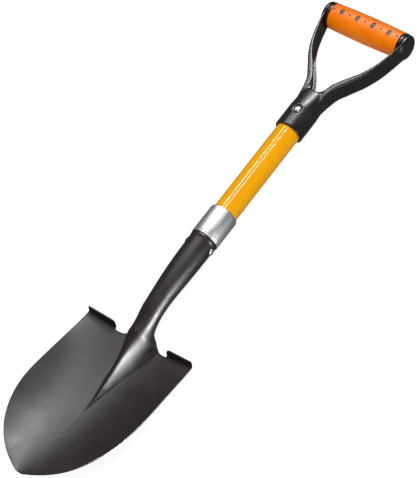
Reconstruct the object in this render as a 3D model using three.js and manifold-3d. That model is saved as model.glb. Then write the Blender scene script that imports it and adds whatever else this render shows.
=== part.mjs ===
// A D-handled round-point digging shovel, lying on its back with the dish facing up.
// Every piece is first made along the shaft: X runs from the blade tip to the grip,
// Z is the front (dish) side and X = 0 is the lower rim of the ferrule. At the end the
// whole tool is tipped onto its heel and its grip, so that it rests on Z = 0.
// All lengths are in millimetres.
import * as THREE from 'three';
import { mergeVertices } from 'three/addons/utils/BufferGeometryUtils.js';
import Module from 'manifold-3d';

const wasm = await Module();
wasm.setup();

// ---- fits ----
const GAP = 0.3;

// ---- shaft tube ----
const TUBE_R = 14.85;
const TUBE_BORE_R = 11.6;
const TUBE_START = -42;
const TUBE_END = 207;
const PLUG_R = TUBE_BORE_R - GAP;

// ---- blade sheet ----
const SHEET = 1.3;
const STEP_X = -133;
const BLADE_LENGTH = 205;
const BLADE_OUTLINE = [[0, 73.5], [30, 74], [60, 75], [85, 75.5], [105, 75], [127, 71.5],
  [150, 63], [172, 49.5], [190, 30.5], [200, 14], [205, 3.5]];
const DISH_DEPTH = [[0, 10], [50, 19], [100, 23], [150, 17.5], [184, 7.5], [205, 0.2]];
const HEEL_Z = -32.7;
const TIP_Z = 8.1;
const FROG_LENGTH = 101;
const FROG_TIP_Z = -24.7;
const FROG_HALF_WIDTH = 18;
const FROG_TOP_Z = -1;

// ---- treads ----
const TREAD_INNER_Y = 36.5;
const TREAD_INNER_RISE = 10;
const TREAD_OUTER_RISE = 7;
const TREAD_ANGLE = 80 * Math.PI / 180;
const TREAD_BEND_R = 2;

// ---- socket ----
const SOCKET_RADIUS = [[-133, 11.8], [-120, 12.7], [-108, 13.1], [-96, 13.1], [-84, 13.4],
  [-72, 14.1], [-60, 14.85], [-48, 15.5], [-30, 16.1], [-12, 16.4], [-6, 16.5], [37, 16.5]];
const SOCKET_CENTRE = [[-133, -12.8], [-120, -10], [-108, -7.4], [-96, -4.8], [-84, -2.7],
  [-72, -1.6], [-60, -0.9], [-48, -0.5], [-20, 0], [37, 0]];
const SOCKET_END = 37;
const SEAM_HALF_ANGLE = 5 * Math.PI / 180;
const BEAD_HEIGHT = 0.95;
const SOCKET_RIVET_X = -9.5;

// ---- ferrule ----
const FERRULE_R = 17.4;
const FERRULE_LENGTH = 39.8;

// ---- yoke ----
const YOKE_MOUTH = 165.7;
const YOKE_R = 17.9;
const YOKE_BORE_END = 210;
const CROTCH_X = 223;
const ARM_START = 206;
const ARM_OUTER = [[206, 15.4], [218, 15.7], [232, 18.3], [248, 27.3], [266, 38.7], [286, 47.2],
  [306, 52.4], [320, 55.2], [331, 57]];
const ARM_DEPTH = [[206, 17], [216, 22], [228, 25], [250, 25], [285, 26], [331, 28]];
const ARM_REACH = [[206, 7.4], [240, 7.4], [280, 4.6], [315, 3.2], [331, 3]];
const ARM_WEB = 2.9;
const FLANGE = 2.9;
const POCKET_START = 214.2;
const CROTCH_HALF = 11.4;
const HOLLOW_HALF = 7.3;
const BOSS_R = 15.4;
const BOSS_IN = 52.9;
const BOSS_OUT = 58;

// ---- rivets ----
const SHANK_R = 2.6;
const HOLE_R = SHANK_R + GAP;
const YOKE_RIVET_X = 189.8;
const RECESS_R = 5.7;
const RECESS_FLOOR = 16.3;

// ---- grip ----
const GRIP_X = 330.4;
const SLEEVE_HALF = 47.8;
const SLEEVE_R_MID = 16.9;
const SLEEVE_R_END = 15.9;
const CORE_R = 13.3;
const COLLAR_END = 52.6;
const ROD_R = 4;
const ROD_HALF = 55.6;
const WINDOW_PITCH = 11.08;

// ---------------------------------------------------------------- curves

function smoothCurve(knots) {
  // cubic through the knots with limited slopes, so it never overshoots them
  const n = knots.length;
  const slope = [];
  for (let i = 0; i < n - 1; i += 1) {
    slope.push((knots[i + 1][1] - knots[i][1]) / (knots[i + 1][0] - knots[i][0]));
  }
  const tangent = knots.map((k, i) => {
    if (i === 0) return slope[0];
    if (i === n - 1) return slope[n - 2];
    if (slope[i - 1] * slope[i] <= 0) return 0;
    return 2 * slope[i - 1] * slope[i] / (slope[i - 1] + slope[i]);
  });
  return (x) => {
    if (x <= knots[0][0]) return knots[0][1];
    if (x >= knots[n - 1][0]) return knots[n - 1][1];
    const i = knots.findIndex((k) => k[0] > x) - 1;
    const h = knots[i + 1][0] - knots[i][0];
    const t = (x - knots[i][0]) / h;
    const a = (1 + 2 * t) * (1 - t) * (1 - t) * knots[i][1];
    const b = t * (1 - t) * (1 - t) * h * tangent[i];
    const c = t * t * (3 - 2 * t) * knots[i + 1][1];
    const d = t * t * (t - 1) * h * tangent[i + 1];
    return a + b + c + d;
  };
}

function mix(a, b, t) {
  return a + (b - a) * t;
}

// ---------------------------------------------------------------- solids

function signedVolume(position, index) {
  let volume = 0;
  const p = [0, 1, 2].map(() => new THREE.Vector3());
  for (let i = 0; i < index.length; i += 3) {
    for (let k = 0; k < 3; k += 1) p[k].fromArray(position, 3 * index[i + k]);
    volume += p[0].dot(p[1].cross(p[2])) / 6;
  }
  return volume;
}

function meshSolid(points, index) {
  const position = points.flatMap((p) => [p.x, p.y, p.z]);
  const faces = index.slice();
  if (signedVolume(position, faces) < 0) faces.reverse();
  const geometry = new THREE.BufferGeometry();
  geometry.setAttribute('position', new THREE.Float32BufferAttribute(position, 3));
  geometry.setIndex(faces);
  return toSolid(geometry);
}

function toSolid(geometry) {
  const bare = geometry.clone();
  bare.deleteAttribute('normal');
  bare.deleteAttribute('uv');
  const merged = mergeVertices(bare, 1e-4);
  return new wasm.Manifold(new wasm.Mesh({
    numProp: 3,
    vertProperties: new Float32Array(merged.attributes.position.array),
    triVerts: new Uint32Array(merged.index.array),
  }));
}

function toGeometry(solid) {
  const mesh = solid.getMesh();
  const geometry = new THREE.BufferGeometry();
  geometry.setAttribute('position', new THREE.Float32BufferAttribute(mesh.vertProperties, 3));
  geometry.setIndex(Array.from(mesh.triVerts));
  return geometry;
}

function latheX(profile, segments = 48) {
  // profile: [x, radius] pairs, turned about the X axis
  const points = profile.map(([x, r]) => new THREE.Vector2(r, x));
  const geometry = new THREE.LatheGeometry(points, segments, Math.PI / segments);
  geometry.rotateZ(-Math.PI / 2);
  const bare = geometry.clone();
  bare.deleteAttribute('normal');
  bare.deleteAttribute('uv');
  const merged = mergeVertices(bare, 1e-4);
  const index = Array.from(merged.index.array);
  const closed = [];
  for (let i = 0; i < index.length; i += 3) {
    const [a, b, c] = index.slice(i, i + 3);
    if (a !== b && b !== c && c !== a) closed.push(a, b, c);
  }
  const corners = [];
  for (let i = 0; i < merged.attributes.position.count; i += 1) {
    corners.push(new THREE.Vector3().fromBufferAttribute(merged.attributes.position, i));
  }
  return meshSolid(corners, closed);
}

function latheAlong(profile, axis, segments = 48) {
  // the same turning about an axis parallel to Y or Z, through the origin
  const turned = toGeometry(latheX(profile, segments));
  if (axis === 'y') turned.rotateZ(Math.PI / 2);
  if (axis === 'z') turned.rotateY(-Math.PI / 2);
  return toSolid(turned);
}

function loft(sections) {
  // closed loops of equal length joined in order, each end closed by a fan
  const n = sections[0].length;
  const points = sections.flat();
  const index = [];
  for (let i = 0; i < sections.length - 1; i += 1) {
    for (let j = 0; j < n; j += 1) {
      const a = i * n + j;
      const b = i * n + (j + 1) % n;
      index.push(a, b, b + n, a, b + n, a + n);
    }
  }
  [[0, true], [sections.length - 1, false]].forEach(([row, first]) => {
    const centre = new THREE.Vector3();
    sections[row].forEach((p) => centre.addScaledVector(p, 1 / n));
    const hub = points.push(centre) - 1;
    for (let j = 0; j < n; j += 1) {
      const a = row * n + j;
      const b = row * n + (j + 1) % n;
      if (first) index.push(hub, b, a);
      else index.push(hub, a, b);
    }
  });
  return meshSolid(points, index);
}

// ---------------------------------------------------------------- blade

const halfWidth = smoothCurve(BLADE_OUTLINE);
const dishDepth = smoothCurve(DISH_DEPTH);
const socketRadius = smoothCurve(SOCKET_RADIUS);
const socketCentre = smoothCurve(SOCKET_CENTRE);

function keelZ(t) {
  // middle line of the dish: a parabola through the heel, the frog's end and the tip
  const rise = FROG_TIP_Z - HEEL_Z;
  const full = TIP_Z - HEEL_Z;
  const den = FROG_LENGTH * BLADE_LENGTH * (BLADE_LENGTH - FROG_LENGTH);
  const c = (full * FROG_LENGTH - rise * BLADE_LENGTH) / den;
  const a = (rise - c * FROG_LENGTH * FROG_LENGTH) / FROG_LENGTH;
  return HEEL_Z + a * t + c * t * t;
}

function dishZ(t, y) {
  // across the blade the dish is a parabola; it is a straight line at the tread fold
  const w = halfWidth(t);
  const u = Math.min(1, Math.abs(y) / w);
  const curved = u * u;
  const straight = Math.max(curved, mix(0.2, 1, (u - 0.45) / 0.55));
  const flat = Math.max(0, 1 - t / 30);
  return keelZ(t) + dishDepth(t) * mix(curved, straight, flat * (u > 0.45 ? 1 : 0));
}

function frogHalf(t) {
  const u = Math.min(1, t / FROG_LENGTH);
  const below = Math.min(1.4, 0.2 * halfWidth(t));
  return Math.max(below, FROG_HALF_WIDTH * (1 - u));
}

function frogHeight(t) {
  const u = Math.min(1, t / FROG_LENGTH);
  return (FROG_TOP_Z - HEEL_Z) * (1 - u) ** 1.28;
}

function channelPoint(t, s) {
  // the raised frog: round at the socket, then a roof with flat flanks and a round crest;
  // s runs 0 at the crest to 1 at the foot
  const u = Math.abs(s);
  const a = u * Math.PI / 2;
  const flatness = Math.min(1, t / 30);
  const roof = 1 - (Math.hypot(u, 0.2) - 0.2) / (Math.hypot(1, 0.2) - 0.2);
  const y = frogHalf(t) * mix(0.68 * Math.sin(a) + 0.32 * u, u, flatness);
  return [Math.sign(s) * y, dishZ(t, y) + frogHeight(t) * mix(Math.cos(a), roof, flatness)];
}

function tubePoint(x, s) {
  // the rolled part of the socket: an arc that nearly meets itself at the back
  const a = s * (Math.PI - SEAM_HALF_ANGLE);
  const bead = BEAD_HEIGHT * Math.max(0, 1 - Math.abs(x + 2) / 2.2);
  const r = socketRadius(x) + bead;
  return [r * Math.sin(a), socketCentre(x) + r * Math.cos(a)];
}

const WING = [0, 0.08, 0.16, 0.25, 0.333, 0.5, 0.67, 0.84, 0.97, 1];
const RIDGE = [0, 0.11, 0.22, 0.33, 0.44, 0.56, 0.67, 0.78, 0.89, 1];
const BLADE_ROWS = [0, 4, 10, 18, 28, 40, 53, 67, 81, 93, 101, 111, 123, 135, 147,
  158, 168, 177, 185, 192, 197, 201, 203.5, 205];
const SOCKET_ROWS = [-129, -125, -121, -117, -113, -109, -105, -101, -96, -90, -82, -72, -60,
  -46, -30, -16, -4.2, -2, 0, 37];

function bladeFront() {
  // front surface as a net of points: columns across the blade, rows along it
  const points = [];
  const quads = [];
  const put = (x, y, z) => points.push(new THREE.Vector3(x, y, z)) - 1;
  const ridgeS = [...RIDGE.slice(1).reverse().map((s) => -s), ...RIDGE];
  const last = WING.length - 1;
  const rows = BLADE_ROWS.map((t) => {
    const yf = frogHalf(t);
    const w = halfWidth(t);
    const lift = Math.exp(-t / 12);
    const wing = (side) => WING.slice(1).map((u) => {
      const y = mix(yf, w, u);
      const corner = 7 * Math.max(0, 1 - u / 0.22) ** 2 * lift;
      return put(STEP_X - t + corner, side * y, dishZ(t, y));
    });
    const right = wing(-1).reverse();
    const middle = ridgeS.map((s) => {
      const [y, z] = channelPoint(t, s);
      return put(STEP_X - t + 7 * Math.abs(s) ** 6 * lift, y, z);
    });
    return [...right, ...middle, ...wing(1)];
  });
  const join = (lower, upper, from, to) => {
    for (let j = from; j < to; j += 1) {
      quads.push([lower[j], upper[j], upper[j + 1], lower[j + 1]]);
    }
  };
  for (let i = 0; i < rows.length - 1; i += 1) join(rows[i + 1], rows[i], 0, rows[0].length - 1);

  // socket: the columns of the frog carry on upwards and curl round to the back seam
  const middleFrom = last;
  const middleTo = last + ridgeS.length - 1;
  let below = rows[0];
  SOCKET_ROWS.forEach((x) => {
    const open = Math.min(1, Math.max(0, (-103 - x) / 29)) ** 1.2;
    const row = below.slice();
    ridgeS.forEach((s, k) => {
      const [yc, zc] = channelPoint(0, s);
      const [yt, zt] = tubePoint(x, s);
      const run = 7 * Math.abs(s) ** 6 * Math.max(0, (-117 - x) / 16);
      row[middleFrom + k] = put(x + run, mix(yt, yc, open), mix(zt, zc, open));
    });
    join(below, row, middleFrom, middleTo);
    below = row;
  });

  // treads: the outer columns fold forwards along a straight line into a flat flange
  const flat = new Map();
  const fold = (columns) => {
    let lower = columns.map((c) => rows[0][c]);
    const start = lower.map((i) => points[i].clone());
    const up = new THREE.Vector3(Math.cos(TREAD_ANGLE), 0, Math.sin(TREAD_ANGLE));
    const along = start[start.length - 1].clone().sub(start[0]);
    const face = up.clone().cross(along).normalize();
    if (face.x > 0) face.negate();
    [0.33, 0.66, 1, 2].forEach((f) => {
      const a = Math.min(1, f) * TREAD_ANGLE;
      const upper = start.map((p) => {
        const out = (Math.abs(p.y) - TREAD_INNER_Y) / (BLADE_OUTLINE[0][1] - TREAD_INNER_Y);
        const rise = f > 1 ? mix(TREAD_INNER_RISE, TREAD_OUTER_RISE, out) : 0;
        const dx = TREAD_BEND_R * Math.sin(a) + rise * up.x;
        const dz = TREAD_BEND_R * (1 - Math.cos(a)) + rise * up.z;
        const index = put(p.x + dx, p.y, p.z + dz);
        if (f >= 1) flat.set(index, face);
        return index;
      });
      for (let j = 0; j < upper.length - 1; j += 1) {
        quads.push([lower[j], upper[j], upper[j + 1], lower[j + 1]]);
      }
      lower = upper;
    });
  };
  const wide = rows[0].length - 1;
  const firstTread = WING.indexOf(0.333);
  fold(Array.from({ length: last - firstTread + 1 }, (_, k) => k));
  fold(Array.from({ length: last - firstTread + 1 }, (_, k) => wide - (last - firstTread) + k));
  return { points, quads, flat };
}

function thicken({ points, quads, flat }) {
  // a second skin one sheet thickness behind the first, with the free edges closed
  const normal = points.map(() => new THREE.Vector3());
  quads.forEach(([a, b, c, d]) => {
    const u = points[c].clone().sub(points[a]);
    const v = points[d].clone().sub(points[b]);
    const n = u.cross(v).normalize();
    [a, b, c, d].forEach((i) => normal[i].add(n));
  });
  flat.forEach((face, i) => normal[i].copy(face));
  const back = points.map((p, i) => {
    const q = p.clone().addScaledVector(normal[i].normalize(), -SHEET);
    const narrow = p.x < STEP_X - 1 && Math.abs(q.y) < Math.abs(p.y);
    if (narrow || p.y * q.y < 0) {
      const least = 0.35 * Math.abs(p.y);
      q.y = Math.sign(p.y) * Math.max(least, Math.sign(p.y) * q.y);
    }
    return q;
  });
  const count = points.length;
  const index = [];
  const edges = new Set();
  quads.forEach((q) => q.forEach((a, k) => edges.add(`${a},${q[(k + 1) % 4]}`)));
  quads.forEach(([a, b, c, d]) => {
    index.push(a, b, c, a, c, d);
    index.push(count + c, count + b, count + a, count + d, count + c, count + a);
  });
  quads.forEach((q) => q.forEach((a, k) => {
    const b = q[(k + 1) % 4];
    if (!edges.has(`${b},${a}`)) index.push(b, a, count + a, b, count + a, count + b);
  }));
  return meshSolid([...points, ...back], index);
}

function makeBlade() {
  const sheet = thicken(bladeFront());
  const hole = latheAlong([[-30, 0], [-30, HOLE_R], [30, HOLE_R], [30, 0]], 'y', 24);
  return sheet.subtract(hole.translate([SOCKET_RIVET_X, 0, 0]));
}

// ---------------------------------------------------------------- shaft

function makeTube() {
  const fit = (x) => Math.min(TUBE_R, socketRadius(x) - SHEET - 0.55);
  const taper = [-42, -26, -10].map((x) => [x, fit(x)]);
  const outer = [[TUBE_START, fit(TUBE_START) - 0.8], ...taper, [4, TUBE_R]];
  outer[1] = [TUBE_START + 0.8, fit(TUBE_START)];
  const end = [[TUBE_END - 0.8, TUBE_R], [TUBE_END, TUBE_R - 0.8], [TUBE_END, TUBE_BORE_R]];
  const loop = [...outer, ...end, [TUBE_START, TUBE_BORE_R], outer[0]];
  const tube = latheX(loop, 48);
  const cross = latheAlong([[-30, 0], [-30, HOLE_R], [30, HOLE_R], [30, 0]], 'y', 24);
  const upright = latheAlong([[-30, 0], [-30, HOLE_R], [30, HOLE_R], [30, 0]], 'z', 24);
  return tube
    .subtract(cross.translate([SOCKET_RIVET_X, 0, 0]))
    .subtract(upright.translate([YOKE_RIVET_X, 0, 0]));
}

function makePlug(from, to, rivetX, axis) {
  const profile = [[from, 0], [from, PLUG_R - 1], [from + 1, PLUG_R], [to - 1, PLUG_R],
    [to, PLUG_R - 1], [to, 0]];
  const hole = latheAlong([[-30, 0], [-30, HOLE_R], [30, HOLE_R], [30, 0]], axis, 24);
  return latheX(profile, 32).subtract(hole.translate([rivetX, 0, 0]));
}

function makeFerrule() {
  const inner = SOCKET_RADIUS[SOCKET_RADIUS.length - 1][1] + GAP;
  const neck = TUBE_R + GAP;
  const foot = GAP + 0.1;
  const end = FERRULE_LENGTH;
  return latheX([[foot, inner], [foot, FERRULE_R - 0.2], [foot + 0.5, FERRULE_R + 0.1],
    [foot + 1.6, FERRULE_R + 0.1], [foot + 2.1, FERRULE_R], [end - 3, FERRULE_R],
    [end - 1, FERRULE_R - 0.7], [end, FERRULE_R - 1.5], [end, neck],
    [SOCKET_END + GAP + 0.2, neck], [SOCKET_END + GAP + 0.2, inner], [foot, inner]], 44);
}

// ---------------------------------------------------------------- yoke

const armOuter = smoothCurve(ARM_OUTER);
const armDepth = smoothCurve(ARM_DEPTH);
const armReach = smoothCurve(ARM_REACH);

function armLoop(x, near, far, half, e) {
  // a slice across the arm between two distances in from its outer face, corners eased by e
  const slope = armOuter(x + 0.5) - armOuter(x - 0.5);
  const length = Math.hypot(1, slope);
  const inward = [slope / length, -1 / length];
  const loop = [[near + e, -half], [near, -half + e], [near, half - e], [near + e, half],
    [far - e, half], [far, half - e], [far, -half + e], [far - e, -half]];
  return loop.map(([n, z]) => {
    return new THREE.Vector3(x + inward[0] * n, armOuter(x) + inward[1] * n, z);
  });
}

function armStations(from, step) {
  const stations = [];
  for (let x = from; x < GRIP_X + 0.7; x += step) stations.push(x);
  return stations;
}

function makeArm() {
  return loft(armStations(ARM_START, 7.8).map((x) => {
    return armLoop(x, 0, armReach(x), armDepth(x) / 2, 1.2);
  }));
}

function armChannel() {
  // the arm is a channel that opens inwards; it runs out flush with the web near the grip
  return loft(armStations(POCKET_START, 8.9).map((x) => {
    const near = Math.max(ARM_WEB, mix(ARM_WEB, armReach(x) + 0.6, (x - 300) / 15));
    return armLoop(x, Math.min(near, armReach(x) + 0.6), armReach(x) + 2.5,
      armDepth(x) / 2 - FLANGE, 0.5);
  }));
}

function yokeShoulder() {
  // round below, a little squarer above, where the socket spreads into the two arms
  const ring = (x, k) => {
    const t = Math.min(1, Math.max(0, (x - 196) / (CROTCH_X - 196)));
    const power = 2 / mix(2, 2.5, t);
    const points = [];
    for (let j = 0; j < 36; j += 1) {
      const c = Math.cos(j * Math.PI / 18);
      const s = Math.sin(j * Math.PI / 18);
      const y = k * mix(YOKE_R, 15.8, t) * Math.sign(c) * Math.abs(c) ** power;
      const z = k * mix(YOKE_R, 13.6, t) * Math.sign(s) * Math.abs(s) ** power;
      points.push(new THREE.Vector3(x, y, z));
    }
    return points;
  };
  const body = [195, 202, 209, 216, CROTCH_X - 1.5].map((x) => ring(x, 1));
  return loft([...body, ring(CROTCH_X - 0.4, 0.97), ring(CROTCH_X, 0.92)]);
}

function crotchSlab(half, from, sag, bevel) {
  // fills the fork between the arms with a rounded notch
  const shape = new THREE.Shape();
  shape.moveTo(from, -12);
  shape.lineTo(240, -15);
  shape.quadraticCurveTo(CROTCH_X + sag + 3, -9.5, CROTCH_X + sag + 0.8, -5);
  shape.quadraticCurveTo(CROTCH_X + sag - 0.8, 0, CROTCH_X + sag + 0.8, 5);
  shape.quadraticCurveTo(CROTCH_X + sag + 3, 9.5, 240, 15);
  shape.lineTo(from, 12);
  shape.closePath();
  const slab = new THREE.ExtrudeGeometry(shape, { depth: 2 * (half - bevel), steps: 1,
    bevelEnabled: bevel > 0, bevelThickness: bevel, bevelSize: bevel, bevelSegments: 2,
    curveSegments: 4 });
  slab.translate(0, 0, -(half - bevel));
  return toSolid(slab);
}

function makeBoss() {
  const profile = [[BOSS_IN - 1, 0], [BOSS_IN - 1, BOSS_R],
    [BOSS_OUT - 2.6, BOSS_R], [BOSS_OUT - 1.2, BOSS_R - 0.6], [BOSS_OUT - 0.4, BOSS_R - 1.6],
    [BOSS_OUT, BOSS_R - 3], [BOSS_OUT, 0]];
  return latheAlong(profile, 'y', 36).translate([GRIP_X, 0, 0]);
}

function makeYoke() {
  const socket = latheX([[YOKE_MOUTH, 0], [YOKE_MOUTH, YOKE_R - 1.4], [YOKE_MOUTH + 0.5, YOKE_R - 0.4],
    [YOKE_MOUTH + 1.4, YOKE_R], [198, YOKE_R], [198, 0]], 36);
  const left = makeArm().add(makeBoss());
  const channel = armChannel();
  const hollow = crotchSlab(HOLLOW_HALF, POCKET_START + 0.4, 12, 0);
  const body = socket
    .add(yokeShoulder())
    .add(crotchSlab(CROTCH_HALF, 212, 0, 0.8))
    .add(left)
    .add(left.mirror([0, 1, 0]))
    .subtract(channel)
    .subtract(channel.mirror([0, 1, 0]))
    .subtract(hollow);
  const bore = TUBE_R + GAP;
  const mouth = latheX([[YOKE_MOUTH - 5, 0], [YOKE_MOUTH - 5, bore + 1.1],
    [YOKE_MOUTH, bore + 1.1], [YOKE_MOUTH + 0.8, bore], [YOKE_BORE_END, bore],
    [YOKE_BORE_END, 0]], 36);
  const shank = latheAlong([[-30, 0], [-30, HOLE_R], [30, HOLE_R], [30, 0]], 'z', 24);
  const recess = latheAlong([[RECESS_FLOOR, 0], [RECESS_FLOOR, RECESS_R], [30, RECESS_R],
    [30, 0]], 'z', 28);
  const rodHole = latheAlong([[-ROD_HALF - GAP, 0], [-ROD_HALF - GAP, ROD_R + GAP],
    [ROD_HALF + GAP, ROD_R + GAP], [ROD_HALF + GAP, 0]], 'y', 24);
  const handRoom = latheAlong([[-BOSS_IN, 0], [-BOSS_IN, SLEEVE_R_MID], [BOSS_IN, SLEEVE_R_MID],
    [BOSS_IN, 0]], 'y', 36);
  return body
    .subtract(mouth)
    .subtract(handRoom.translate([GRIP_X, 0, 0]))
    .subtract(shank.translate([YOKE_RIVET_X, 0, 0]))
    .subtract(recess.translate([YOKE_RIVET_X, 0, 0]))
    .subtract(recess.mirror([0, 0, 1]).translate([YOKE_RIVET_X, 0, 0]))
    .subtract(rodHole.translate([GRIP_X, 0, 0]));
}

// ---------------------------------------------------------------- rivets

function domeProfile(low, lowHeight, high, highHeight, headR) {
  // shank with a domed head at each end; low and high are the undersides of the heads
  const dome = (base, height, dir) => [[0.25, 1], [0.6, 0.86], [0.93, 0.48]].map(([rise, c]) => {
    return [base + dir * height * rise, headR * c];
  });
  const top = dome(high, highHeight, 1);
  const bottom = dome(low, lowHeight, -1).reverse();
  return [[low - lowHeight, 0], ...bottom, [low, headR], [low, SHANK_R], [high, SHANK_R],
    [high, headR], ...top, [high + highHeight, 0]];
}

function makeSocketRivet() {
  const seat = 16.45 + GAP;
  const profile = domeProfile(-seat, 2.1, seat, 2.1, 4.2);
  return latheAlong(profile, 'y', 24).translate([SOCKET_RIVET_X, 0, 0]);
}

function makeYokeRivet() {
  const seat = RECESS_FLOOR + GAP;
  const tail = -(seat + 1 + GAP);
  const profile = domeProfile(tail, 1.7, seat, 2, 4.3);
  return latheAlong(profile, 'z', 24).translate([YOKE_RIVET_X, 0, 0]);
}

function makeWasher() {
  const face = -(RECESS_FLOOR + GAP);
  const profile = [[face - 1, HOLE_R], [face - 1, 4.9], [face, 4.9], [face, HOLE_R],
    [face - 1, HOLE_R]];
  return latheAlong(profile, 'z', 28).translate([YOKE_RIVET_X, 0, 0]);
}

// ---------------------------------------------------------------- grip

function sleeveRadius(y) {
  return mix(SLEEVE_R_MID, SLEEVE_R_END, (y / SLEEVE_HALF) ** 2);
}

function windowPrism(along, around, y, from, to) {
  // an upright prism with rounded ends, longer round the grip than along it
  const shape = new THREE.Shape();
  const r = along / 2;
  const straight = Math.max(0, around / 2 - r);
  shape.absarc(straight, 0, r, -Math.PI / 2, Math.PI / 2);
  shape.absarc(-straight, 0, r, Math.PI / 2, 3 * Math.PI / 2);
  const prism = new THREE.ExtrudeGeometry(shape, { depth: to - from, bevelEnabled: false,
    curveSegments: 5 });
  prism.translate(GRIP_X, y, from);
  return toSolid(prism);
}

function windowSet(shrink, from, lower) {
  // ovals at the odd pitches, dots at the even ones
  const solids = [];
  for (let k = -4; k <= 4; k += 1) {
    const y = k * WINDOW_PITCH;
    const oval = Math.abs(k) % 2 === 1;
    const top = lower ? sleeveRadius(y) - (oval ? 0.45 : 0.3) : 25;
    const along = (oval ? 4.8 : 2.6) - shrink;
    const around = (oval ? 8.4 : 2.6) - shrink;
    solids.push(windowPrism(along, around, y, from, top));
  }
  return solids.reduce((a, b) => a.add(b));
}

function makeSleeve() {
  const ys = [-1, -0.97, -0.6, 0, 0.6, 0.97, 1].map((u) => u * SLEEVE_HALF);
  const outer = ys.map((y, k) => {
    const edge = (k === 0 || k === ys.length - 1) ? 0.6 : 0;
    return [y, sleeveRadius(y) - edge];
  });
  const inner = CORE_R + GAP;
  const loop = [...outer, [SLEEVE_HALF, inner], [-SLEEVE_HALF, inner], outer[0]];
  const barrel = latheAlong(loop, 'y', 36).translate([GRIP_X, 0, 0]);
  return barrel.subtract(windowSet(0, 5, false));
}

function makeCore() {
  const inner = ROD_R + GAP;
  const shoulder = SLEEVE_HALF + GAP;
  const collar = SLEEVE_R_END - 0.1;
  const profile = [[-COLLAR_END, inner], [-COLLAR_END, collar - 0.8], [-COLLAR_END + 0.8, collar],
    [-shoulder - 0.5, collar], [-shoulder, collar - 0.5], [-shoulder, CORE_R],
    [shoulder, CORE_R], [shoulder, collar - 0.5], [shoulder + 0.5, collar],
    [COLLAR_END - 0.8, collar], [COLLAR_END, collar - 0.8], [COLLAR_END, inner],
    [-COLLAR_END, inner]];
  const barrel = latheAlong(profile, 'y', 32).translate([GRIP_X, 0, 0]);
  const pads = windowSet(0.7, 10, true);
  return barrel.add(pads);
}

function makeRod() {
  const profile = [[-ROD_HALF, 0], [-ROD_HALF, ROD_R - 0.7], [-ROD_HALF + 0.7, ROD_R],
    [ROD_HALF - 0.7, ROD_R], [ROD_HALF, ROD_R - 0.7], [ROD_HALF, 0]];
  return latheAlong(profile, 'y', 28).translate([GRIP_X, 0, 0]);
}

// ---------------------------------------------------------------- assembly

const PIECES = [
  ['blade', makeBlade(), 0x2c2a29, 0.42, 0.3],
  ['socket_rivet', makeSocketRivet(), 0xc9cbcc, 0.3, 1],
  ['ferrule', makeFerrule(), 0xd8dadb, 0.3, 1],
  ['shaft_tube', makeTube(), 0xf5a800, 0.2, 0],
  ['lower_core_plug', makePlug(-40, 24, SOCKET_RIVET_X, 'y'), 0xc49a62, 0.7, 0],
  ['upper_core_plug', makePlug(168, 205, YOKE_RIVET_X, 'z'), 0xc49a62, 0.7, 0],
  ['yoke', makeYoke(), 0x242323, 0.45, 0],
  ['yoke_rivet', makeYokeRivet(), 0xc9cbcc, 0.3, 1],
  ['yoke_rivet_washer', makeWasher(), 0xb9bbbc, 0.35, 1],
  ['grip_core', makeCore(), 0x1f1e1e, 0.45, 0],
  ['grip_sleeve', makeSleeve(), 0xff8c00, 0.55, 0],
  ['grip_rod', makeRod(), 0xb0b2b4, 0.35, 1],
];

function lowest(points, angle, keep) {
  // the lowest height of the kept points once the tool is turned about Y
  const c = Math.cos(angle);
  const s = Math.sin(angle);
  let low = Infinity;
  points.forEach((p) => {
    if (keep(p)) low = Math.min(low, c * p.z + s * p.x);
  });
  return low;
}

function restAngle(points) {
  // the turn at which the blade's heel and the grip end stand equally high
  let low = -0.2;
  let high = 0.2;
  for (let k = 0; k < 60; k += 1) {
    const angle = (low + high) / 2;
    const heel = lowest(points, angle, (p) => p.x < 0);
    const grip = lowest(points, angle, (p) => p.x > 250);
    if (grip > heel) high = angle;
    else low = angle;
  }
  return (low + high) / 2;
}

function assemble() {
  const geometries = PIECES.map((piece) => toGeometry(piece[1]));
  const points = geometries.flatMap((g) => {
    const list = [];
    for (let i = 0; i < g.attributes.position.count; i += 1) {
      list.push(new THREE.Vector3().fromBufferAttribute(g.attributes.position, i));
    }
    return list;
  });
  const angle = restAngle(points);
  const box = new THREE.Box3();
  geometries.forEach((g) => {
    g.rotateY(-angle);
    g.computeBoundingBox();
    box.union(g.boundingBox);
  });
  const middle = (box.min.x + box.max.x) / 2;
  const group = new THREE.Group();
  group.name = 'digging_shovel';
  geometries.forEach((g, k) => {
    const [name, , color, roughness, metalness] = PIECES[k];
    g.translate(-middle, 0, -box.min.z);
    g.computeVertexNormals();
    const mesh = new THREE.Mesh(g, new THREE.MeshStandardMaterial({ color, roughness, metalness }));
    mesh.name = name;
    group.add(mesh);
  });
  return group;
}

export default assemble();
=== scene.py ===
import math

import bmesh
import bpy
import numpy as np
from mathutils import Matrix, Vector


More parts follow.
